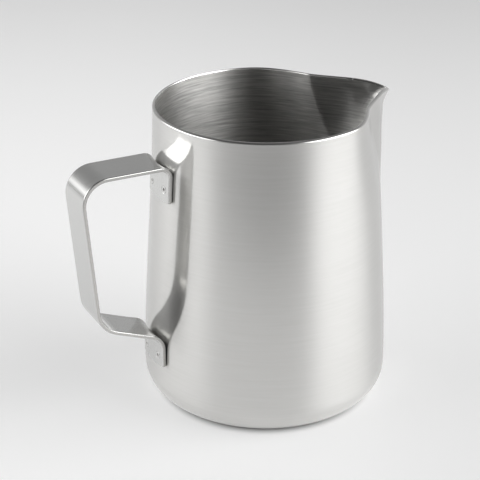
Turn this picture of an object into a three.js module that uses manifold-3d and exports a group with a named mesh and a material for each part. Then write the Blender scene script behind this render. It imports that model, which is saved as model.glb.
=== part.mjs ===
// Milk frothing pitcher, 600 ml: a shell drawn from one sheet of stainless steel, with its spout pulled out
// of the rim, and a handle bent from one flat strap whose two feet are spot welded to the wall.
// Millimetres, +Z up. The origin is the centre of the flat base, with the spout along +X and the handle
// along -X.
import * as THREE from "three";
import { mergeVertices } from "three/addons/utils/BufferGeometryUtils.js";
import Module from "manifold-3d";

// Shell
const HEIGHT = 110;
const RIM_RADIUS = 39.8;
const BELLY_RADIUS = 44.5;
const BASE_RADIUS = 33.5;
const BASE_FILLET = BELLY_RADIUS - BASE_RADIUS;
const SHEET = 1;
const RIM_TANGENT = 25; // how far the wall runs on nearly upright below the rim
const BELLY_TANGENT = 29; // and above the base fillet
const FILLET_STEPS = 6;
const WALL_STEPS = 18;
const ROW_CROWDING = 1.6; // 1 spreads the rows evenly, above it they crowd at the rim
const COLUMNS = 88;
const COLUMN_CROWDING = 0.5; // 0 spreads the columns evenly, towards 1 they crowd at the spout

// Spout
const SPOUT_START = 62; // height where the spout starts to leave the round wall
const SPOUT_APEX = 49.2; // where the two flanks of the lip would meet
const SPOUT_FLANK = THREE.MathUtils.degToRad(43.5); // each flank's angle to the spout's centre line
const SPOUT_NOSE = THREE.MathUtils.degToRad(1.3); // rounds the tip
const SPOUT_DROP = 2.4; // how far the tip sits below the rim
const DROP_CURVE = 1.8; // the rim sinks slowly along the flanks and faster towards the tip
const LIP_BLEND = 4.3; // softens where flank and valley meet
const BULGE_DEPTH = 8.7; // the wide round bulge that leads up to the spout
const BULGE_SPREAD = THREE.MathUtils.degToRad(40.2);
const VALLEY_DEPTH = 3.7; // how far the wall is drawn in on each side of the spout
const VALLEY_ANGLE = THREE.MathUtils.degToRad(34.2);
const VALLEY_SPREAD = THREE.MathUtils.degToRad(39.5);
const FLARE_REACH = 2.7; // the lip is flared outwards round the spout
const FLARE_DEPTH = 6.8;
const FLARE_SPREAD = THREE.MathUtils.degToRad(33.4);

// Handle strap
const STRAP_WIDTH = 16;
const STRAP = 1.4; // thickness
const STRAP_EDGE = 0.25; // broken edge
const GAP = 0.3; // between the strap's feet and the wall
const ARM_HEIGHT = 95.4; // centre line of the level upper arm
const GRIP_TOP = 72.9; // how far the grip stands off the pitcher's axis at its two bends
const GRIP_BOTTOM = 68.1;
const GRIP_BOTTOM_HEIGHT = 40;
const LOWER_ARM_SLOPE = THREE.MathUtils.degToRad(21);
const UPPER_FOOT_END = 82.3;
const LOWER_FOOT_END = 19.5;
const UPPER_FOOT_BEND = 3.3; // bend radii of the centre line
const GRIP_TOP_BEND = 8.8;
const GRIP_BOTTOM_BEND = 10.1;
const LOWER_FOOT_BEND = 6.7;
const BEND_STEPS = 6;
const STRAP_ROWS = 6; // rows across the strap's width, which let its feet curve
const FOOT_PRESS = 2.5; // the strap is curved like the wall up to this distance from it
const FOOT_RELEASE = 8; // and flat beyond this one

// Spot welds
const NUGGET_RADIUS = 1.2;
const NUGGET_SPREAD = 4.7; // from the strap's centre line
const NUGGET_SINK = 0.1; // below the foot's face
const UPPER_WELD = 86.8;
const LOWER_WELD = 23.5;
const WELD_SIDES = 20;

const wasm = await Module();
wasm.setup();

const steel = (name, color, roughness) =>
  new THREE.MeshStandardMaterial({ name, color, roughness, metalness: 1 });
const shellSteel = steel("shell_steel", 0xc9c8c4, 0.3);
const strapSteel = steel("strap_steel", 0xc4c4c2, 0.22);
const weldSteel = steel("weld_steel", 0x9a9894, 0.45);

// The half outline of the shell's outer skin, as (radius, height) from the base's edge up to the rim.
function skinOutline() {
  const fillet = new THREE.EllipseCurve(
    BASE_RADIUS, BASE_FILLET, BASE_FILLET, BASE_FILLET, -Math.PI / 2, 0);
  const wall = new THREE.CubicBezierCurve(
    new THREE.Vector2(BELLY_RADIUS, BASE_FILLET),
    new THREE.Vector2(BELLY_RADIUS, BASE_FILLET + BELLY_TANGENT),
    new THREE.Vector2(RIM_RADIUS, HEIGHT - RIM_TANGENT),
    new THREE.Vector2(RIM_RADIUS, HEIGHT),
  );
  const rows = Array.from({ length: WALL_STEPS }, (_, row) => (row + 1) / WALL_STEPS);
  const places = rows.map((row) => wall.getPoint(1 - (1 - row) ** ROW_CROWDING));
  return [...fillet.getPoints(FILLET_STEPS), ...places];
}

// The radius of the round wall at a height above the base fillet.
function wallRadius(height) {
  const outline = skinOutline();
  const above = outline.findIndex((point) => point.y >= height);
  const low = outline[above - 1];
  const high = outline[above];
  return THREE.MathUtils.mapLinear(height, low.y, high.y, low.x, high.x);
}

// A smooth hump: 1 at its middle, 0 from its spread outwards.
function hump(distance, spread) {
  return Math.cos((Math.min(Math.abs(distance) / spread, 1) * Math.PI) / 2) ** 2;
}

// How far the wall is drawn in at an angle from the spout's centre line.
function valleyShift(angle) {
  return -VALLEY_DEPTH * hump(Math.abs(angle) - VALLEY_ANGLE, VALLEY_SPREAD);
}

// How far the rim's own outline leaves its circle: straight flanks that meet in a rounded nose and run out
// softly into the valley beside each.
function lipShift(angle) {
  const valley = valleyShift(angle);
  const fromNose = Math.min(SPOUT_FLANK + Math.hypot(angle, SPOUT_NOSE), Math.PI / 2);
  const flank = (SPOUT_APEX * Math.sin(SPOUT_FLANK)) / Math.sin(fromNose) - RIM_RADIUS;
  const closeness = Math.max(1 - Math.abs(flank - valley) / LIP_BLEND, 0);
  return Math.max(flank, valley) + (LIP_BLEND * closeness ** 2) / 4;
}

// A point of the outer skin. Above the spout's start the round wall first swells into a wide bulge between
// two valleys, and this sharpens into the lip's outline towards the rim, where the lip sinks and flares out.
function skinPoint(angle, { x: radius, y: height }) {
  const growth = Math.max(height - SPOUT_START, 0) / (HEIGHT - SPOUT_START);
  const valley = valleyShift(angle) * growth ** 2;
  const bulge = BULGE_DEPTH * hump(angle, BULGE_SPREAD) * growth ** 1.2;
  const sharp = growth ** 5;
  const flareGrowth = Math.max(1 - (HEIGHT - height) / FLARE_DEPTH, 0);
  const flare = FLARE_REACH * hump(angle, FLARE_SPREAD) * flareGrowth ** 2;
  const lip = lipShift(angle);
  const reach = radius + THREE.MathUtils.lerp(bulge + valley, lip, sharp) + flare;
  const drop = SPOUT_DROP * sharp * (Math.max(lip, 0) / lipShift(0)) ** DROP_CURVE;
  return new THREE.Vector3(reach * Math.cos(angle), reach * Math.sin(angle), height - drop);
}

// One ring of the shell at a place on the outline, set in from the outer skin by a depth along its normal.
function shellRing(outline, place, depth) {
  const below = outline[Math.max(place - 1, 0)];
  const above = outline[Math.min(place + 1, outline.length - 1)];
  const side = 0.01; // half the angle over which the skin's slope round the shell is measured
  const ring = [];
  for (let column = 0; column < COLUMNS; column++) {
    const turn = ((column / COLUMNS) * 2 - 1) * Math.PI;
    const angle = turn - COLUMN_CROWDING * Math.sin(turn);
    const across = skinPoint(angle + side, outline[place]).sub(skinPoint(angle - side, outline[place]));
    const upwards = skinPoint(angle, above).sub(skinPoint(angle, below));
    const normal = across.cross(upwards);
    if (above === outline[place]) normal.setZ(0); // the rim is cut level
    normal.normalize();
    ring.push(skinPoint(angle, outline[place]).addScaledVector(normal, -depth));
  }
  return ring;
}

// A closed body through a stack of rings, its first and last rings filled with flat fans.
function ringsGeometry(rings) {
  const count = rings[0].length;
  const centre = (ring) =>
    ring.reduce((sum, point) => sum.add(point), new THREE.Vector3()).divideScalar(count);
  const points = [...rings.flat(), centre(rings[0]), centre(rings[rings.length - 1])];
  const first = rings.length * count;
  const faces = [];
  for (let i = 0; i < count; i++) {
    const next = (i + 1) % count;
    const last = (rings.length - 1) * count;
    faces.push(first, next, i);
    faces.push(first + 1, last + i, last + next);
    for (let row = 0; row < last; row += count) {
      faces.push(row + i, row + next, row + count + next);
      faces.push(row + i, row + count + next, row + count + i);
    }
  }
  return new THREE.BufferGeometry().setFromPoints(points).setIndex(faces);
}

function shellGeometry() {
  const outline = skinOutline();
  const places = outline.map((_, place) => place);
  const outer = places.map((place) => shellRing(outline, place, 0));
  const inner = places.reverse().map((place) => shellRing(outline, place, SHEET));
  const geometry = ringsGeometry([...outer, ...inner]);
  geometry.computeVertexNormals();
  return geometry;
}

// The strap's centre line, seen from the side as (distance from the pitcher's axis, height), with the radius
// of the bend at each of its corners.
function strapCorners() {
  const stand = GAP + STRAP / 2;
  const lowerFoot = wallRadius(LOWER_FOOT_END) + stand;
  const lowerReach = GRIP_BOTTOM - lowerFoot;
  return [
    { at: new THREE.Vector2(wallRadius(UPPER_FOOT_END) + stand, UPPER_FOOT_END) },
    { at: new THREE.Vector2(wallRadius(ARM_HEIGHT) + stand, ARM_HEIGHT), bend: UPPER_FOOT_BEND },
    { at: new THREE.Vector2(GRIP_TOP, ARM_HEIGHT), bend: GRIP_TOP_BEND },
    { at: new THREE.Vector2(GRIP_BOTTOM, GRIP_BOTTOM_HEIGHT), bend: GRIP_BOTTOM_BEND },
    {
      at: new THREE.Vector2(lowerFoot, GRIP_BOTTOM_HEIGHT - lowerReach * Math.tan(LOWER_ARM_SLOPE)),
      bend: LOWER_FOOT_BEND,
    },
    { at: new THREE.Vector2(lowerFoot, LOWER_FOOT_END) },
  ];
}

// Points and left-hand normals along a line of corners, each corner turned into an arc of its bend radius.
function bentLine(corners) {
  const line = [];
  corners.forEach(({ at, bend }, i) => {
    const arrive = i > 0 ? at.clone().sub(corners[i - 1].at).normalize() : null;
    const leave = i < corners.length - 1 ? corners[i + 1].at.clone().sub(at).normalize() : null;
    const left = (way) => new THREE.Vector2(-way.y, way.x);
    if (!bend) {
      line.push({ at, normal: left(arrive ?? leave) });
      return;
    }
    const turn = Math.atan2(arrive.cross(leave), arrive.dot(leave));
    const start = at.clone().addScaledVector(arrive, -bend * Math.tan(Math.abs(turn) / 2));
    const centre = start.clone().addScaledVector(left(arrive), bend * Math.sign(turn));
    for (let step = 0; step <= BEND_STEPS; step++) {
      const swing = (turn * step) / BEND_STEPS;
      const point = start.clone().rotateAround(centre, swing);
      line.push({ at: point, normal: left(arrive).rotateAround(new THREE.Vector2(), swing) });
    }
  });
  return line;
}

// The strap: its side outline extruded across its width, then each foot curved round the wall.
function strapGeometry() {
  const line = bentLine(strapCorners());
  const side = (offset) => line.map(({ at, normal }) => at.clone().addScaledVector(normal, offset));
  const outline = [...side(STRAP / 2), ...side(-STRAP / 2).reverse()];
  const geometry = new THREE.ExtrudeGeometry(new THREE.Shape(outline), {
    depth: STRAP_WIDTH - 2 * STRAP_EDGE,
    steps: STRAP_ROWS,
    bevelEnabled: true,
    bevelSegments: 1,
    bevelThickness: STRAP_EDGE,
    bevelSize: STRAP_EDGE,
    bevelOffset: -STRAP_EDGE,
  });
  const position = geometry.getAttribute("position");
  for (let i = 0; i < position.count; i++) {
    const reach = position.getX(i);
    const height = position.getY(i);
    const across = position.getZ(i) + STRAP_EDGE - STRAP_WIDTH / 2;
    const radius = wallRadius(height);
    const press = 1 - THREE.MathUtils.smoothstep(reach - radius, FOOT_PRESS, FOOT_RELEASE);
    const curve = radius - Math.sqrt(radius * radius - across * across);
    position.setXYZ(i, -(reach - press * curve), across, height);
  }
  return geometry;
}

// Places a mesh with its +Z axis along the wall's normal beside the handle, at a distance off the wall.
function placeOnWall(mesh, height, across, distance) {
  const radius = wallRadius(height);
  const angle = Math.PI - Math.asin(across / radius);
  const lean = Math.atan((wallRadius(height - 1) - wallRadius(height + 1)) / 2);
  const normal = new THREE.Vector3(Math.cos(angle), Math.sin(angle), Math.tan(lean)).normalize();
  mesh.position.set(radius * Math.cos(angle), radius * Math.sin(angle), height);
  mesh.position.addScaledVector(normal, distance);
  mesh.quaternion.setFromUnitVectors(new THREE.Vector3(0, 0, 1), normal);
  mesh.updateMatrixWorld();
  return mesh;
}

// A round bar along +Z that starts at the mesh's own origin.
function barMesh(radius, length) {
  const bar = new THREE.CylinderGeometry(radius, radius, length, WELD_SIDES);
  return new THREE.Mesh(bar.rotateX(Math.PI / 2).translate(0, 0, length / 2), weldSteel);
}

function solidOf(geometry) {
  const bare = geometry.clone();
  bare.deleteAttribute("normal");
  bare.deleteAttribute("uv");
  const merged = mergeVertices(bare, 1e-3);
  return new wasm.Manifold(new wasm.Mesh({
    numProp: 3,
    vertProperties: merged.getAttribute("position").array,
    triVerts: new Uint32Array(merged.getIndex().array),
  }));
}

function geometryOf(solid) {
  const { vertProperties, triVerts } = solid.getMesh();
  const geometry = new THREE.BufferGeometry();
  geometry.setAttribute("position", new THREE.BufferAttribute(vertProperties, 3));
  geometry.setIndex(new THREE.BufferAttribute(triVerts, 1));
  geometry.computeVertexNormals();
  return geometry;
}

const welds = [
  { name: "weld_nugget_upper_left", height: UPPER_WELD, across: NUGGET_SPREAD },
  { name: "weld_nugget_upper_right", height: UPPER_WELD, across: -NUGGET_SPREAD },
  { name: "weld_nugget_lower_left", height: LOWER_WELD, across: NUGGET_SPREAD },
  { name: "weld_nugget_lower_right", height: LOWER_WELD, across: -NUGGET_SPREAD },
];

const pitcher = new THREE.Group();

const shell = new THREE.Mesh(shellGeometry(), shellSteel);
shell.name = "body_shell";
pitcher.add(shell);

let strapSolid = solidOf(strapGeometry());
for (const { name, height, across } of welds) {
  const nugget = placeOnWall(barMesh(NUGGET_RADIUS, STRAP - NUGGET_SINK), height, across, GAP);
  nugget.name = name;
  pitcher.add(nugget);
  const hole = placeOnWall(barMesh(NUGGET_RADIUS + GAP, 3 * STRAP), height, across, -STRAP);
  strapSolid = strapSolid.subtract(solidOf(hole.geometry.clone().applyMatrix4(hole.matrixWorld)));
}
const strap = new THREE.Mesh(geometryOf(strapSolid), strapSteel);
strap.name = "handle_strap";
pitcher.add(strap);

export default pitcher;
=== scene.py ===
"""Milk frothing pitcher: a brushed stainless steel shell, its bent strap handle and four spot welds, made as
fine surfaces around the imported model. Metres, +Z up, the spout along +X and the handle along -X."""
import math

import bpy
import numpy as np
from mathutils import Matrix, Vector


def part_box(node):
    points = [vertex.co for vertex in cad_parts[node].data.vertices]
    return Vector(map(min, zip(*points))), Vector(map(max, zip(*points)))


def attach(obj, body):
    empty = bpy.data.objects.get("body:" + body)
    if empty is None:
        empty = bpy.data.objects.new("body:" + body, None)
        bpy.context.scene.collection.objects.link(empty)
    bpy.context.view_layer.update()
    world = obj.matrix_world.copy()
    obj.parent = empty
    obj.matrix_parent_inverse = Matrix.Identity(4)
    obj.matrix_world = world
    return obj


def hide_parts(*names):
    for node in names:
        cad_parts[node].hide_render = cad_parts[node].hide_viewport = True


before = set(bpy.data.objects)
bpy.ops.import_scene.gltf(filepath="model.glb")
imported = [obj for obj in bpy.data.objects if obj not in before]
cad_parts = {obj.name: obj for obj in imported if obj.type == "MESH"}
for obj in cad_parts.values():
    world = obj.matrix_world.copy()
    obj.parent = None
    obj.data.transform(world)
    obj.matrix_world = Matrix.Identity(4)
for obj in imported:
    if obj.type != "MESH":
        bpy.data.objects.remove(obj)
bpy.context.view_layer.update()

MM = 0.001
SHELL_LOW, SHELL_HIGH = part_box("body_shell")
STRAP_LOW, STRAP_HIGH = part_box("handle_strap")

# Shell
HEIGHT = SHELL_HIGH.z
BELLY_RADIUS = -SHELL_LOW.x
RIM_RADIUS = 39.8 * MM
BASE_FILLET = 11 * MM
BASE_RADIUS = BELLY_RADIUS - BASE_FILLET
SHEET = 1.0 * MM
RIM_TANGENT = 25 * MM
BELLY_TANGENT = 29 * MM
BASE_RINGS = 8
FILLET_ROWS = 18
WALL_ROWS = 84
PROFILE_POINTS = 400
ROW_CROWDING = 1.5  # the rows crowd at the rim
RIM_ROWS = 11
RIM_SIDE = 0.75 * MM  # how far down the rim's outer edge is rounded
COLUMNS = 320
COLUMN_CROWDING = 0.5  # the columns crowd at the spout

# Spout
SPOUT_START = 62 * MM
SPOUT_APEX = 49.2 * MM
SPOUT_FLANK = math.radians(43.5)
SPOUT_NOSE = math.radians(1.3)
SPOUT_DROP = 2.4 * MM
DROP_CURVE = 1.8
LIP_BLEND = 4.3 * MM
LIP_GROWTH = 5  # the powers by which the spout's forms grow with height
BULGE_GROWTH = 1.2
VALLEY_GROWTH = 2
FLARE_GROWTH = 2
BULGE_DEPTH = 8.7 * MM
BULGE_SPREAD = math.radians(40.2)
VALLEY_DEPTH = 3.7 * MM
VALLEY_ANGLE = math.radians(34.2)
VALLEY_SPREAD = math.radians(39.5)
NOSE_OPENING = math.radians(45)  # the nose is rounder below the rim
NOSE_FILLING = 0.65
NOSE_SPREAD = math.radians(14)
CREASE_ANGLE = math.radians(35.9)
CREASE_LEAN = math.radians(0.42) / MM
CREASE_DEPTH = 0.5 * MM
CREASE_SPREAD = math.radians(6)
CREASE_SOFTNESS = math.radians(0.9)
CREASE_FULL = 85 * MM
FLARE_REACH = 2.7 * MM
FLARE_DEPTH = 6.8 * MM
FLARE_SPREAD = math.radians(33.4)

# Handle strap
STRAP_WIDTH = STRAP_HIGH.y - STRAP_LOW.y
STRAP = 1.4 * MM
STRAP_EDGE = 0.35 * MM  # rounding along the strap's edges
STRAP_CORNER = 0.9 * MM  # rounding of the feet's corners
FOOT_GAP = 0.3 * MM
FOOT_SEAT = 0.14 * MM  # how much closer to the wall the visible feet sit
ARM_HEIGHT = STRAP_HIGH.z - STRAP / 2
GRIP_TOP = 72.86 * MM
GRIP_BOTTOM = 68.1 * MM
GRIP_BOTTOM_HEIGHT = 40 * MM
LOWER_ARM_SLOPE = math.radians(21)
UPPER_FOOT_END = 82.3 * MM
LOWER_FOOT_END = STRAP_LOW.z
UPPER_FOOT_BEND = 3.3 * MM
GRIP_TOP_BEND = 8.8 * MM
GRIP_BOTTOM_BEND = 10.1 * MM
LOWER_FOOT_BEND = 6.7 * MM
FOOT_PRESS = 2.5 * MM  # up to this distance off the wall the strap is curved to it
FOOT_RELEASE = 8 * MM  # from this distance on it is flat across
FOOT_LENGTH = 15 * MM  # length at each end with close stations
STRAP_STEP = 0.5 * MM
FOOT_STEP = 0.16 * MM
BEND_POINTS = 24
END_STATIONS = 9
FACE_POINTS = 96
CORNER_POINTS = 6
CLEAR = 0.9  # a direction's part above this counts as pointing fully that way

# Spot welds
WELD_NODES = [node for node in sorted(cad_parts) if node.startswith("weld_nugget")]
NUGGET_RADIUS = 1.32 * MM
NUGGET_DEPTH = 0.25 * MM
NUGGET_LIFT = 0.012 * MM  # how far the nugget stands above the foot's face
DIMPLE_RADIUS = 0.6 * MM  # the electrode's mark in the middle of the nugget
DIMPLE_FLOOR = 0.35 * DIMPLE_RADIUS
DIMPLE_DEPTH = 0.2 * MM
NUGGET_RINGS = 16
NUGGET_SIDES = 40
PIT_DEPTH = 0.3 * MM  # the hole in the foot that the nugget fills
PIT_RADIUS = 1.25 * MM
PIT_SLOPE = 0.1 * MM

# Camera
CAMERA_PIVOT = Vector((0, 0, HEIGHT / 2))
CAMERA_AZIMUTH = math.radians(-28)
CAMERA_ELEVATION = math.radians(25)
CAMERA_DISTANCE = 553.1 * MM
CAMERA_AIM = Vector((-8.06, 4.29, 57.09)) * MM
CAMERA_LENS = 114.07
CAMERA_SENSOR = 36

# Studio floor, with painted light and shade: each fade is two distances in metres from the pitcher's axis
# and the levels at them
FLOOR_RADIUS = 3.0
FLOOR_SIDES = 96
FLOOR_COLOR = (0.5, 0.5, 0.5)
FLOOR_ROUGHNESS = 0.6
PAINTED_FLOOR_GLOW = 0.48  # painted light: the floor glows, so that shadows on it stay light
PAINTED_CONTACT_SHADOW = (BASE_RADIUS + 2.5 * MM, BASE_RADIUS + 8 * MM, 0.0, PAINTED_FLOOR_GLOW)  # painted contact shadow: the glow is taken away at the contact line
PAINTED_BACK_SHADE = (0.1, 0.75, 1.0, 0.65)  # painted shade towards the back; distances away from the camera
# painted shade towards the front
PAINTED_FRONT_SHADE = (-0.42, -0.12, 0.45, 1.0)
PAINTED_RIGHT_SHADE = (-0.12, 0.12, 1.02, 0.93)  # painted shade towards the right; distances to the right

# Studio room: each fade is two parts of a unit direction and the radiances or levels at them
ROOM_FADE = (-0.2, 0.8, 0.17, 0.48)  # front to back
CEILING_FADE = (0.1, 0.9, 1.0, 0.4)  # horizon to zenith
HORIZON_FADE = (0.08, 0.22, 0.6, 0.0)  # a pale strip above the floor's far edge

# Studio lights: angles in degrees, the azimuth counted to the right of the camera
RIGHT_LIGHT = dict(azimuth=79, half_width=29, side_fade=14, low=0, high=52, top_fade=12, radiance=4.0)
LEFT_LIGHT = dict(azimuth=-88, half_width=31, side_fade=11, low=6, high=36, top_fade=11, radiance=3.1)
BOTTOM_FADE = 4  # half the height of the fade at each light's lower edge
MAX_BOUNCES = 24  # light bounces many times inside the shell
GLOSSY_BOUNCES = 16

# Steel
NOISE_DETAIL = 3
NOISE_ROUGHNESS = 0.6
NOISE_MIDDLE = (0.25, 0.75)  # the part of a noise's range that is stretched to a full range
PATCH_SCALE = 45  # patches per metre of the slow change in colour and gloss
PATCH_SHARE = 0.2  # share of the patches in the colour's change, the rest follows the brush marks
FINE_SHARE = 0.4  # height of the fine brush marks against the coarse ones
MIRROR_SPREAD = (0.85, 1.2)  # how far the roughnesses vary, as factors
HAZE_SPREAD = (0.9, 1.1)
HAZE_STRETCH = 0.9  # anisotropy of the hazy reflection
QUARTER_TURN = 0.25  # turns it across the brushing
COARSE_LENGTH = 2.5  # length and spacing of the coarse marks round the axis, as factors of the fine ones
COARSE_SPACING = 4
STRAP_FINE = (20 * MM, 0.12 * MM)  # length and spacing of the brush marks along the strap
STRAP_COARSE = (40 * MM, 0.6 * MM)
WHITE = (1, 1, 1, 1)


# ---------------------------------------------------------------- shell shape

def hump(distance, spread):
    """A smooth hump: 1 at its middle, 0 from its spread outwards."""
    return np.cos(np.minimum(np.abs(distance) / spread, 1) * math.pi / 2) ** 2


def smoothstep(low, high, value):
    share = np.clip((value - low) / (high - low), 0, 1)
    return share**2 * (3 - 2 * share)


def valley_shift(angle):
    return -VALLEY_DEPTH * hump(np.abs(angle) - VALLEY_ANGLE, VALLEY_SPREAD)


def lip_shift(angle, nose=SPOUT_NOSE):
    """How far the rim's outline leaves its circle: straight flanks, rounded nose, a valley on each side."""
    valley = valley_shift(angle)
    from_nose = np.minimum(SPOUT_FLANK + np.hypot(angle, nose), math.pi / 2)
    flank = SPOUT_APEX * math.sin(SPOUT_FLANK) / np.sin(from_nose) - RIM_RADIUS
    closeness = np.maximum(1 - np.abs(flank - valley) / LIP_BLEND, 0)
    return np.maximum(flank, valley) + LIP_BLEND * closeness**2 / 4


def crease(angle, height):
    """A soft fold on each side, where the wall meets the spout's flank. The two run together downwards."""
    fold = CREASE_ANGLE - CREASE_LEAN * (HEIGHT - height)
    away = np.hypot(np.abs(angle) - fold, CREASE_SOFTNESS)
    fullness = smoothstep(SPOUT_START, CREASE_FULL, height)
    return -CREASE_DEPTH * np.exp(-away / CREASE_SPREAD) * fullness


def skin(angle, radius, height):
    """Points of the outer skin at angles round the shell, for places (radius, height) on its outline."""
    growth = np.maximum(height - SPOUT_START, 0) / (HEIGHT - SPOUT_START)
    valley = valley_shift(angle) * growth**VALLEY_GROWTH
    bulge = BULGE_DEPTH * hump(angle, BULGE_SPREAD) * growth**BULGE_GROWTH
    sharp = growth**LIP_GROWTH
    flare_growth = np.maximum(1 - (HEIGHT - height) / FLARE_DEPTH, 0)
    flare = FLARE_REACH * hump(angle, FLARE_SPREAD) * flare_growth**FLARE_GROWTH
    nose = SPOUT_NOSE + NOSE_OPENING * (1 - growth)
    filling = NOSE_FILLING * (lip_shift(0.0) - lip_shift(0.0, nose)) * hump(angle, NOSE_SPREAD)
    lip = lip_shift(angle, nose) + filling
    reach = radius + (bulge + valley) * (1 - sharp) + lip * sharp + flare + crease(angle, height)
    drop = SPOUT_DROP * sharp * (np.maximum(lip, 0) / lip_shift(0.0)) ** DROP_CURVE
    return np.stack([reach * np.cos(angle), reach * np.sin(angle), height - drop], -1)


def wall_curve(along):
    """Radius and height of the round wall, from the base fillet (0) to the rim (1)."""
    back = 1 - along
    weights = [back**3, 3 * back**2 * along, 3 * back * along**2, along**3]
    radii = [BELLY_RADIUS, BELLY_RADIUS, RIM_RADIUS, RIM_RADIUS]
    heights = [BASE_FILLET, BASE_FILLET + BELLY_TANGENT, HEIGHT - RIM_TANGENT, HEIGHT]
    radius = sum(weight * value for weight, value in zip(weights, radii))
    height = sum(weight * value for weight, value in zip(weights, heights))
    return radius, height


FINE_RADII, FINE_HEIGHTS = wall_curve(np.linspace(0, 1, PROFILE_POINTS))


def wall_radius(height):
    return np.interp(height, FINE_HEIGHTS, FINE_RADII)


def outline():
    """The shell's outer half outline, from near the axis over the base and up to just under the rim."""
    base = np.linspace(0, 1, BASE_RINGS + 1)[1:-1] * BASE_RADIUS
    turn = np.linspace(0, math.pi / 2, FILLET_ROWS)
    along = 1 - (1 - np.linspace(0, 1, WALL_ROWS)[1:]) ** ROW_CROWDING
    wall_r, wall_z = wall_curve(along)
    squeeze = 2 * RIM_SIDE  # height over which the rows are pushed down to make room for the rim
    wall_z = wall_z - RIM_SIDE * np.clip((wall_z - HEIGHT + squeeze) / squeeze, 0, 1)
    radius = np.concatenate([base, BASE_RADIUS + BASE_FILLET * np.sin(turn), wall_r])
    height = np.concatenate([base * 0, BASE_FILLET * (1 - np.cos(turn)), wall_z])
    return radius[:, None], height[:, None]


def object_of(name, points, faces, slots):
    """A mesh object from points and faces, smooth shaded, with the material slot of each face."""
    mesh = bpy.data.meshes.new(name)
    mesh.from_pydata([tuple(point) for point in points], [], [tuple(face) for face in faces])
    mesh.polygons.foreach_set("use_smooth", [True] * len(mesh.polygons))
    mesh.polygons.foreach_set("material_index", slots)
    mesh.update()
    piece = bpy.data.objects.new(name, mesh)
    bpy.context.scene.collection.objects.link(piece)
    return piece


def loop_faces(rows, count):
    """Quads between stacked closed loops of the same number of points."""
    low = np.arange(rows - 1)[:, None] * count
    near = np.arange(count)[None, :]
    far = (near + 1) % count
    quads = np.stack([low + near, low + far, low + count + far, low + count + near], -1)
    return quads.reshape(-1, 4)


def fan_faces(centre, first, count, flip):
    """Triangles from a centre point to a closed loop."""
    near = np.arange(count)
    far = (near + 1) % count
    pair = (far, near) if flip else (near, far)
    return [(centre, first + a, first + b) for a, b in zip(*pair)]


def make_shell():
    """The shell's outer skin, rim and inner skin as one closed mesh, with a material slot for each."""
    turn = np.linspace(-math.pi, math.pi, COLUMNS, endpoint=False)
    angle = (turn - COLUMN_CROWDING * np.sin(turn))[None, :]
    radius, height = outline()
    outer = skin(angle, radius, height)
    across = np.roll(outer, -1, 1) - np.roll(outer, 1, 1)
    normal = np.cross(across, np.gradient(outer, axis=0))
    normal[-1, :, 2] = 0
    normal /= np.linalg.norm(normal, axis=-1, keepdims=True)
    inner = outer - SHEET * normal
    side = np.linspace(0, math.pi / 2, RIM_ROWS + 1)[1:, None, None]
    lift = np.array([0, 0, RIM_SIDE])
    rim = inner[-1] + np.cos(side) * (outer[-1] - inner[-1]) + np.sin(side) * lift
    rows = np.concatenate([outer, rim, inner[::-1]])
    points = rows.reshape(-1, 3)
    points = np.concatenate([points, [(0, 0, 0), (0, 0, SHEET)]])
    faces = [tuple(face) for face in loop_faces(len(rows), COLUMNS)]
    slots = np.repeat([0, 1, 2], [len(outer) - 1, RIM_ROWS + 1, len(inner) - 1]).repeat(COLUMNS)
    last = (len(rows) - 1) * COLUMNS
    faces += fan_faces(len(points) - 2, 0, COLUMNS, True)
    faces += fan_faces(len(points) - 1, last, COLUMNS, False)
    slots = np.concatenate([slots, np.zeros(COLUMNS, int), np.full(COLUMNS, 2)])
    return object_of("shell_body", points, faces, slots.tolist())


# ---------------------------------------------------------------- strap shape

def strap_corners():
    """The corners of the strap's centre line: (reach from the axis, height) and bend radius."""
    stand = FOOT_GAP + STRAP / 2
    lower_foot = wall_radius(LOWER_FOOT_END) + stand
    lower_arm_foot = GRIP_BOTTOM_HEIGHT - (GRIP_BOTTOM - lower_foot) * math.tan(LOWER_ARM_SLOPE)
    return [
        ((wall_radius(UPPER_FOOT_END) + stand, UPPER_FOOT_END), 0),
        ((wall_radius(ARM_HEIGHT) + stand, ARM_HEIGHT), UPPER_FOOT_BEND),
        ((GRIP_TOP, ARM_HEIGHT), GRIP_TOP_BEND),
        ((GRIP_BOTTOM, GRIP_BOTTOM_HEIGHT), GRIP_BOTTOM_BEND),
        ((lower_foot, lower_arm_foot), LOWER_FOOT_BEND),
        ((lower_foot, LOWER_FOOT_END), 0),
    ]


def bent_line():
    """The centre line as a fine chain of points, with each corner turned into an arc."""
    corners = [(np.array(at), bend) for at, bend in strap_corners()]
    chain = [corners[0][0]]
    for (before, _), (at, bend), (after, _) in zip(corners, corners[1:], corners[2:]):
        arrive = (at - before) / np.linalg.norm(at - before)
        leave = (after - at) / np.linalg.norm(after - at)
        turn = math.atan2(arrive[0] * leave[1] - arrive[1] * leave[0], arrive @ leave)
        start = at - arrive * bend * math.tan(abs(turn) / 2)
        left = np.array([-arrive[1], arrive[0]])
        centre = start + left * bend * math.copysign(1, turn)
        for swing in np.linspace(0, turn, BEND_POINTS):
            cos, sin = math.cos(swing), math.sin(swing)
            chain.append(centre + np.array([[cos, -sin], [sin, cos]]) @ (start - centre))
    chain.append(corners[-1][0])
    return np.array(chain)


def strap_stations(length):
    """Distances along the strap: close together over the feet and closest at its ends."""
    ends = STRAP_CORNER * (1 - np.cos(np.linspace(0, math.pi / 2, END_STATIONS)))
    feet = np.arange(STRAP_CORNER + FOOT_STEP, FOOT_LENGTH, FOOT_STEP)
    half = np.concatenate([ends, feet])
    steps = int((length - 2 * FOOT_LENGTH) / STRAP_STEP)
    middle = np.linspace(FOOT_LENGTH, length - FOOT_LENGTH, steps)
    return np.concatenate([half, middle, length - half[::-1]])


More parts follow.
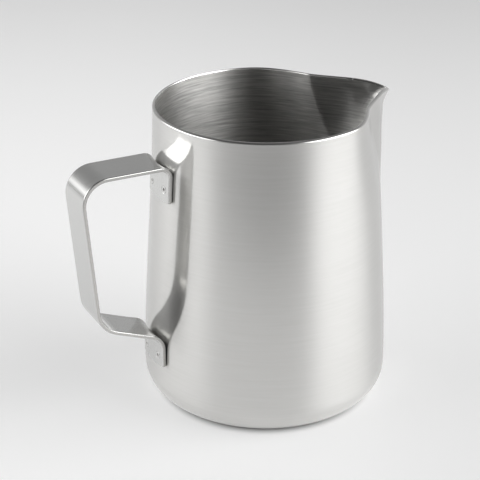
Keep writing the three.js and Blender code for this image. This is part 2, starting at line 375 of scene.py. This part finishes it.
def rounding(distance, radius):
    """How much a rounded corner takes off at a distance from the edge it meets."""
    inside = np.clip(radius - distance, 0, radius)
    return radius - np.sqrt(radius**2 - inside**2)


def section():
    """The strap's section: for each point the side of the strap it belongs to, (across, out) from -1 to 1,
    and its direction (across, out) on the rounded edge."""
    face = [(share, 1, 0, 1) for share in np.linspace(1, -1, FACE_POINTS)]
    back = [(share, -1, 0, -1) for share in np.linspace(-1, 1, FACE_POINTS)]
    turns = np.linspace(0, math.pi / 2, CORNER_POINTS)[1:]
    sweep = [(math.sin(turn), math.cos(turn)) for turn in turns]
    points = face + [(-1, 1, -sin, cos) for sin, cos in sweep]
    points += [(-1, -1, -cos, -sin) for sin, cos in sweep[:-1]]
    points += back + [(1, -1, sin, -cos) for sin, cos in sweep]
    points += [(1, 1, cos, sin) for sin, cos in sweep[:-1]]
    return np.array(points, float).T


def weld_depth(across, height):
    """How deep the outer face is pressed in at the welds."""
    depth = np.zeros(np.broadcast(across, height).shape)
    for node in WELD_NODES:
        low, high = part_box(node)
        middle = (low + high) / 2
        away = np.hypot(across - middle.y, height - middle.z)
        depth = np.maximum(depth, PIT_DEPTH * smoothstep(PIT_RADIUS + PIT_SLOPE, PIT_RADIUS, away))
    return depth


def make_strap():
    """The strap as one closed mesh: its section swept along the centre line, with the feet pressed to the
    wall and pitted at the welds. The cut edges and ends have the second material slot."""
    chain = bent_line()
    steps = np.concatenate([[0], np.cumsum(np.linalg.norm(np.diff(chain, axis=0), axis=1))])
    length = steps[-1]
    place = strap_stations(length)
    reach = np.interp(place, steps, chain[:, 0])
    height = np.interp(place, steps, chain[:, 1])
    way = np.stack([np.gradient(reach, place), np.gradient(height, place)], -1)
    way /= np.linalg.norm(way, axis=-1, keepdims=True)
    from_end = np.minimum(place, length - place)[:, None]
    half_width = STRAP_WIDTH / 2 - rounding(from_end, STRAP_CORNER)
    half_thick = STRAP / 2 - rounding(from_end, STRAP_EDGE)

    across_side, out_side, across_way, out_way = section()
    edge = np.minimum(STRAP_EDGE, half_thick)
    across = across_side * (half_width - edge) + across_way * edge
    out = out_side * (half_thick - edge) + out_way * edge
    grid_reach = reach[:, None] - way[:, 1:2] * out
    grid_height = height[:, None] + way[:, 0:1] * out
    radius = wall_radius(grid_height)
    off_wall = grid_reach - radius
    press = 1 - smoothstep(FOOT_PRESS, FOOT_RELEASE, off_wall)
    curve = radius - np.sqrt(radius**2 - across**2)
    outside = -way[:, 1:2] * out_way > CLEAR
    pit = np.where(outside & (press > CLEAR), weld_depth(across, grid_height), 0)
    grid_reach = grid_reach - press * (curve + FOOT_SEAT) - pit
    rows = np.stack([-grid_reach, across, grid_height], -1)
    count = rows.shape[1]
    points = rows.reshape(-1, 3)
    first_centre = rows[0].mean(0)
    last_centre = rows[-1].mean(0)
    faces = [tuple(face) for face in loop_faces(len(rows), count)[:, ::-1]]
    faces += fan_faces(len(points), 0, count, False)
    faces += fan_faces(len(points) + 1, (len(rows) - 1) * count, count, True)
    points = np.concatenate([points, [first_centre, last_centre]])
    cut = np.abs(across_way) > CLEAR
    slots = np.tile(cut & np.roll(cut, -1), len(rows) - 1).astype(int)
    slots = np.concatenate([slots, np.ones(2 * count, int)])
    return object_of("strap_handle", points, faces, slots.tolist())


def make_nugget(node, strap):
    """A round nugget level with the foot's face, with the electrode's dimple in its middle. The dimple
    has the second material slot."""
    low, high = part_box(node)
    middle = (low + high) / 2
    outwards = Vector((middle.x, middle.y, 0)).normalized()
    _, bottom, normal, _ = strap.ray_cast(middle + outwards * STRAP_WIDTH, -outwards)
    face = bottom + normal * (PIT_DEPTH + NUGGET_LIFT)
    across = normal.cross(Vector((0, 0, 1))).normalized()
    upwards = across.cross(normal)
    ring = np.linspace(0, 1, NUGGET_RINGS + 1)[1:] * NUGGET_RADIUS
    dimple = DIMPLE_DEPTH * smoothstep(DIMPLE_RADIUS, DIMPLE_FLOOR, ring)
    rings = [(r, -h) for r, h in zip(ring, dimple)] + [(NUGGET_RADIUS, -NUGGET_DEPTH)]
    turn = np.linspace(0, 2 * math.pi, NUGGET_SIDES, endpoint=False)
    sweep = [across * math.cos(t) + upwards * math.sin(t) for t in turn]
    points = [face + way * radius + normal * height for radius, height in rings for way in sweep]
    centres = [face - normal * DIMPLE_DEPTH, face - normal * NUGGET_DEPTH]
    faces = [tuple(quad) for quad in loop_faces(len(rings), NUGGET_SIDES)]
    faces += fan_faces(len(points), 0, NUGGET_SIDES, True)
    faces += fan_faces(len(points) + 1, len(points) - NUGGET_SIDES, NUGGET_SIDES, False)
    marked = (ring[1:] < DIMPLE_RADIUS).repeat(NUGGET_SIDES).astype(int)
    slots = [*marked, *[0] * NUGGET_SIDES, *[1] * NUGGET_SIDES, *[0] * NUGGET_SIDES]
    return object_of(node.replace("weld_nugget", "weld"), points + centres, faces, slots)


# ---------------------------------------------------------------- materials

def wire(tree, kind, inputs=(), **settings):
    """A new shader node. inputs maps a socket's name or number to a value or the output that feeds it."""
    node = tree.nodes.new("ShaderNode" + kind)
    for name, value in settings.items():
        setattr(node, name, value)
    for name, value in dict(inputs).items():
        if isinstance(value, bpy.types.NodeSocket):
            tree.links.new(value, node.inputs[name])
        else:
            node.inputs[name].default_value = value
    return node


def math_node(tree, operation, *values):
    return wire(tree, "Math", dict(enumerate(values)), operation=operation).outputs[0]


def around_axis(tree, streak, spacing):
    """Texture coordinates for brushing round the pitcher's axis: long round it, fine up the wall and across
    the bottom."""
    place = wire(tree, "TexCoord").outputs["Object"]
    parts = wire(tree, "SeparateXYZ", {0: place}).outputs
    level = wire(tree, "CombineXYZ", {0: parts[0], 1: parts[1], 2: 0.0}).outputs[0]
    unit = wire(tree, "VectorMath", {0: level}, operation="NORMALIZE").outputs[0]
    sides = wire(tree, "SeparateXYZ", {0: unit}).outputs
    reach = wire(tree, "VectorMath", {0: level}, operation="LENGTH").outputs["Value"]
    across = math_node(tree, "ADD", parts[2], math_node(tree, "MINIMUM", reach, BASE_RADIUS))
    return wire(tree, "CombineXYZ", {
        0: math_node(tree, "MULTIPLY", sides[0], BELLY_RADIUS / streak),
        1: math_node(tree, "MULTIPLY", sides[1], BELLY_RADIUS / streak),
        2: math_node(tree, "DIVIDE", across, spacing),
    }).outputs[0]


def along_strap(tree, streak, spacing):
    """Texture coordinates for brushing along the strap: long in its own plane, fine across its width."""
    place = wire(tree, "TexCoord").outputs["Object"]
    scale = (1 / streak, 1 / spacing, 1 / streak)
    return wire(tree, "Mapping", {"Vector": place, "Scale": scale}).outputs[0]


def noise(tree, vector, scale=1):
    return wire(tree, "TexNoise", {
        "Vector": vector,
        "Scale": scale,
        "Detail": NOISE_DETAIL,
        "Roughness": NOISE_ROUGHNESS,
    }).outputs["Fac"]


def spread(tree, factor, low, high):
    """Maps the middle part of a noise to a range."""
    return wire(tree, "MapRange", {
        "Value": factor,
        "From Min": NOISE_MIDDLE[0],
        "From Max": NOISE_MIDDLE[1],
        "To Min": low,
        "To Max": high,
    }).outputs[0]


def steel(name, color, brushing, mirror, haze, haze_share, groove, axis=None, tint=0.04):
    """Brushed steel: a sharp reflection mixed with a hazy one. mirror and haze are their roughnesses, groove
    is the height of the brush marks. Round an axis, the haze is stretched across the brushing."""
    material = bpy.data.materials.new(name)
    material.use_nodes = True
    tree = material.node_tree
    tree.nodes.clear()
    fine, coarse = brushing(tree)
    patches = noise(tree, wire(tree, "TexCoord").outputs["Object"], PATCH_SCALE)
    patch_part = math_node(tree, "MULTIPLY", patches, PATCH_SHARE)
    streaks = math_node(tree, "MULTIPLY_ADD", coarse, 1 - PATCH_SHARE, patch_part)
    shade = spread(tree, streaks, 1 - tint, 1 + tint)
    paint = wire(tree, "VectorMath", {0: color, 1: shade}, operation="MULTIPLY").outputs[0]
    height = math_node(tree, "MULTIPLY_ADD", fine, FINE_SHARE, coarse)
    bump = wire(tree, "Bump", {"Height": height, "Distance": groove, "Strength": 1.0}).outputs[0]
    common = {"Base Color": paint, "Metallic": 1.0, "Normal": bump}
    sharp_roughness = spread(tree, patches, *[mirror * factor for factor in MIRROR_SPREAD])
    soft_roughness = spread(tree, coarse, *[haze * factor for factor in HAZE_SPREAD])
    sharp = wire(tree, "BsdfPrincipled", {**common, "Roughness": sharp_roughness})
    soft = wire(tree, "BsdfPrincipled", {**common, "Roughness": soft_roughness})
    if axis:
        soft.inputs["Anisotropic"].default_value = HAZE_STRETCH
        soft.inputs["Anisotropic Rotation"].default_value = QUARTER_TURN
        tangent = wire(tree, "Tangent", direction_type="RADIAL", axis=axis).outputs[0]
        tree.links.new(tangent, soft.inputs["Tangent"])
    both = wire(tree, "MixShader", {0: haze_share, 1: sharp.outputs[0], 2: soft.outputs[0]})
    wire(tree, "OutputMaterial", {"Surface": both.outputs[0]})
    return material


def round_brushing(streak, spacing):
    """Brush marks round the axis: the function that makes their fine and coarse noise in a material."""
    def brushing(tree):
        fine = noise(tree, around_axis(tree, streak, spacing))
        coarse = noise(tree, around_axis(tree, streak * COARSE_LENGTH, spacing * COARSE_SPACING))
        return fine, coarse
    return brushing


def strap_brushing(tree):
    """Brush marks along the strap, fine and coarse."""
    fine = noise(tree, along_strap(tree, *STRAP_FINE))
    coarse = noise(tree, along_strap(tree, *STRAP_COARSE))
    return fine, coarse


# ---------------------------------------------------------------- studio

def make_camera():
    level = math.cos(CAMERA_ELEVATION)
    way = Vector((
        math.sin(CAMERA_AZIMUTH) * level,
        -math.cos(CAMERA_AZIMUTH) * level,
        math.sin(CAMERA_ELEVATION),
    ))
    data = bpy.data.cameras.new("camera")
    data.lens = CAMERA_LENS
    data.sensor_width = CAMERA_SENSOR
    data.clip_start = 10 * MM
    camera = bpy.data.objects.new("camera", data)
    camera.location = CAMERA_PIVOT + way * CAMERA_DISTANCE
    camera.rotation_euler = (CAMERA_AIM - camera.location).to_track_quat("-Z", "Y").to_euler()
    bpy.context.scene.collection.objects.link(camera)
    bpy.context.scene.camera = camera


def level_way(azimuth):
    """A level direction at an azimuth in degrees to the right of the camera, seen from the pitcher."""
    turn = CAMERA_AZIMUTH + math.radians(azimuth)
    return Vector((math.sin(turn), -math.cos(turn), 0))


def part_along(tree, vector, azimuth):
    """The part of a vector along the level direction at an azimuth."""
    toward = {0: vector, 1: level_way(azimuth)}
    return wire(tree, "VectorMath", toward, operation="DOT_PRODUCT").outputs["Value"]


def rise(tree, value, low, high, to_low=0.0, to_high=1.0):
    """A smooth step from to_low to to_high while value goes from low to high."""
    return wire(tree, "MapRange", {
        "Value": value, "From Min": low, "From Max": high, "To Min": to_low, "To Max": to_high,
    }, interpolation_type="SMOOTHSTEP").outputs[0]


def softbox(tree, way, up, azimuth, half_width, side_fade, low, high, top_fade, radiance):
    """A large soft light far away: its radiance for a direction. All its angles are in degrees."""
    toward = part_along(tree, way, azimuth)
    level = math_node(tree, "SQRT", math_node(tree, "SUBTRACT", 1.0, math_node(tree, "MULTIPLY", up, up)))
    inner = math.cos(math.radians(half_width - side_fade))
    outer = math.cos(math.radians(half_width + side_fade))
    sides = rise(tree, math_node(tree, "DIVIDE", toward, level), outer, inner)
    heights = [low - BOTTOM_FADE, low + BOTTOM_FADE, high - top_fade, high + top_fade]
    parts_up = [math.sin(math.radians(height)) for height in heights]
    bottom = rise(tree, up, *parts_up[:2])
    top = rise(tree, up, *parts_up[2:], 1.0, 0.0)
    ends = math_node(tree, "MULTIPLY", bottom, top)
    return math_node(tree, "MULTIPLY", math_node(tree, "MULTIPLY", sides, ends), radiance)


def make_floor():
    """A pale floor with painted light: it glows, with painted shade darker to the front, the back and the
    right, and a painted contact shadow where it doesn't glow round the pitcher.
    """
    bpy.ops.mesh.primitive_circle_add(vertices=FLOOR_SIDES, radius=FLOOR_RADIUS, fill_type="NGON")
    floor = bpy.context.object
    floor.name = "floor"
    paint = bpy.data.materials.new("floor_paint_and_painted_light")
    paint.use_nodes = True
    tree = paint.node_tree
    shader = tree.nodes["Principled BSDF"]
    shader.inputs["Roughness"].default_value = FLOOR_ROUGHNESS
    shader.inputs["Emission Color"].default_value = WHITE
    place = wire(tree, "TexCoord").outputs["Object"]
    back = part_along(tree, place, 180)
    side = part_along(tree, place, 90)
    # painted shade: the floor's colour and glow are darker towards the back, the front and the right
    level = math_node(tree, "MULTIPLY", rise(tree, back, *PAINTED_BACK_SHADE), rise(tree, back, *PAINTED_FRONT_SHADE))
    level = math_node(tree, "MULTIPLY", level, rise(tree, side, *PAINTED_RIGHT_SHADE))
    color = wire(tree, "VectorMath", {0: FLOOR_COLOR, 1: level}, operation="MULTIPLY").outputs[0]
    tree.links.new(color, shader.inputs["Base Color"])
    away = wire(tree, "VectorMath", {0: place}, operation="LENGTH").outputs["Value"]
    # painted light: the floor glows, except for a painted contact shadow where the glow fades out round the
    # base
    glow = rise(tree, away, *PAINTED_CONTACT_SHADOW)
    tree.links.new(math_node(tree, "MULTIPLY", level, glow), shader.inputs["Emission Strength"])
    floor.data.materials.append(paint)


def make_world():
    """A room that is darker in front of the pitcher and overhead than behind it, with a soft light on each
    side."""
    world = bpy.data.worlds.new("studio")
    bpy.context.scene.world = world
    world.use_nodes = True
    tree = world.node_tree
    way = wire(tree, "TexCoord").outputs["Generated"]
    up = wire(tree, "SeparateXYZ", {0: way}).outputs[2]
    back = part_along(tree, way, 180)
    room = math_node(tree, "MULTIPLY", rise(tree, back, *ROOM_FADE), rise(tree, up, *CEILING_FADE))
    room = math_node(tree, "MAXIMUM", room, rise(tree, up, *HORIZON_FADE))
    right = softbox(tree, way, up, **RIGHT_LIGHT)
    left = softbox(tree, way, up, **LEFT_LIGHT)
    strength = math_node(tree, "ADD", room, math_node(tree, "ADD", right, left))
    tree.links.new(strength, tree.nodes["Background"].inputs["Strength"])
    tree.nodes["Background"].inputs["Color"].default_value = WHITE


# ---------------------------------------------------------------- assembly

shell = make_shell()
strap = make_strap()
outside_brushing = round_brushing(9 * MM, 0.2 * MM)
inside_brushing = round_brushing(5 * MM, 0.15 * MM)
shell_outside = steel(
    "shell_outside", (0.675, 0.67, 0.655), outside_brushing,
    mirror=0.09, haze=0.42, haze_share=0.4, groove=0.003 * MM, axis="Z",
)
shell_rim = steel(
    "shell_rim", (0.68, 0.675, 0.66), outside_brushing,
    mirror=0.12, haze=0.3, haze_share=0.3, groove=0.001 * MM,
)
shell_inside = steel(
    "shell_inside", (0.56, 0.555, 0.54), inside_brushing,
    mirror=0.12, haze=0.5, haze_share=0.8, groove=0.02 * MM, axis="Z", tint=0.42,
)
strap_steel = steel(
    "strap_brushed", (0.66, 0.66, 0.65), strap_brushing,
    mirror=0.08, haze=0.3, haze_share=0.25, groove=0.002 * MM,
)
strap_edge = steel(
    "strap_cut_edge", (0.5, 0.495, 0.48), strap_brushing,
    mirror=0.16, haze=0.4, haze_share=0.5, groove=0.004 * MM,
)
weld_steel = steel(
    "weld_dull", (0.3, 0.295, 0.28), strap_brushing,
    mirror=0.35, haze=0.55, haze_share=0.6, groove=0.004 * MM,
)
for material in (shell_outside, shell_rim, shell_inside):
    shell.data.materials.append(material)
for material in (strap_steel, strap_edge):
    strap.data.materials.append(material)
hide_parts("body_shell")
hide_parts("handle_strap")
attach(shell, "root")
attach(strap, "root")
bpy.context.view_layer.update()
for node in WELD_NODES:
    nugget = make_nugget(node, strap)
    nugget.data.materials.append(strap_steel)
    nugget.data.materials.append(weld_steel)
    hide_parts(node)
    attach(nugget, "root")

make_floor()
make_world()
make_camera()
scene = bpy.context.scene
scene.view_settings.view_transform = "Standard"
scene.cycles.max_bounces = MAX_BOUNCES
scene.cycles.glossy_bounces = GLOSSY_BOUNCES
